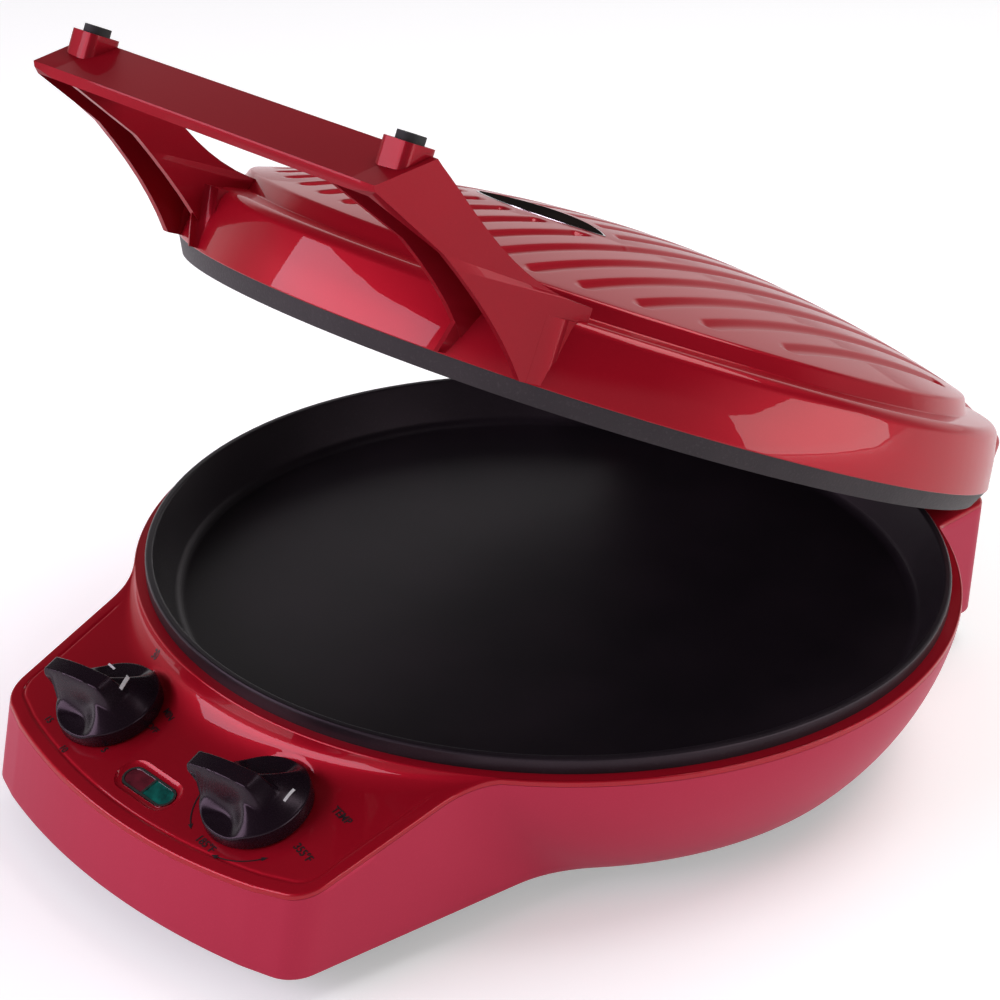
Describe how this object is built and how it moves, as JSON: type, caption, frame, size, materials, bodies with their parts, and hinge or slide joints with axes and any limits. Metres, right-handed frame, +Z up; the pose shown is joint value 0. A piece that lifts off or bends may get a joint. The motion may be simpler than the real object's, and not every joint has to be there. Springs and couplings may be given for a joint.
{
  "type": "electric pizza maker",
  "caption": "Countertop pizza maker with a round lower pan, a sloping control panel and a ribbed domed lid with a looped handle on a rear hinge.",
  "frame": {"origin": "middle of the footprint on the counter, at rest with the lid partly open as in the picture", "axes": "+Z up, +Y to the rear where the lid's hinge is, -Y to the front where the control panel is, +X to the right as seen from the front"},
  "size_m": [0.3376, 0.4099, 0.2974],
  "materials": {
    "base_red": "satin pinkish red",
    "deck_red": "deep candy red, glossy",
    "cover_black": "fine texture",
    "rubber_black": "matt",
    "nonstick_black": "cast, with a black non-stick coating",
    "heater_steel": "oxidised heater sheath",
    "steel": "plated",
    "reflector_sheet": "pressed sheet",
    "case_grey": "moulded",
    "bezel_silver": "bright",
    "lens_red": "tinted clear",
    "lens_green": "tinted clear",
    "lamp_glass": "clear",
    "knob_black": "satin black",
    "badge_black": "polished"
  },
  "bodies": {
    "base": {"base_bowl": "base_red", "base_deck": "deck_red", "bottom_cover": "cover_black", "foot_pads": "rubber_black", "lower_pan": "nonstick_black", "lower_heater": "heater_steel", "lower_clamps": "steel", "lower_reflector": "reflector_sheet", "case_screws": "steel", "timer_case": "case_grey", "thermostat_case": "case_grey", "indicator_bezel": "bezel_silver", "red_lens": "lens_red", "green_lens": "lens_green", "lamp_holder": "case_grey", "indicator_lamps": "lamp_glass", "terminal_block": "case_grey", "rear_plate": "base_red", "cord_inlet": "rubber_black", "hinge_pins": "steel"},
    "timer_dial": {"timer_knob": "knob_black", "timer_shaft": "steel"},
    "temp_dial": {"temp_knob": "knob_black", "temp_shaft": "steel"},
    "lid": {"lid_shell": "deck_red", "hinge_cover": "cover_black", "lid_handle": "deck_red", "handle_stops": "rubber_black", "handle_screws": "steel", "upper_plate": "nonstick_black", "upper_heater": "heater_steel", "upper_clamps": "steel", "upper_reflector": "reflector_sheet", "lid_screws": "steel", "badge_plate": "badge_black", "badge_edge_trim": "bezel_silver"}
  },
  "joints": [
    {"name": "lid_hinge", "type": "hinge", "parent": "base", "child": "lid", "pos_m": [0, 0.199, 0.074], "axis": [-1, 0, 0], "range_deg": [-23.4, 156.6]},
    {"name": "timer_turn", "type": "hinge", "parent": "base", "child": "timer_dial", "pos_m": [-0.043, -0.1656, 0.0516], "axis": [0, -0.279, 0.9603], "range_deg": [-300, 0]},
    {"name": "temp_turn", "type": "hinge", "parent": "base", "child": "temp_dial", "pos_m": [0.043, -0.1656, 0.0516], "axis": [0, -0.279, 0.9603], "range_deg": [-270, 0]}
  ]
}
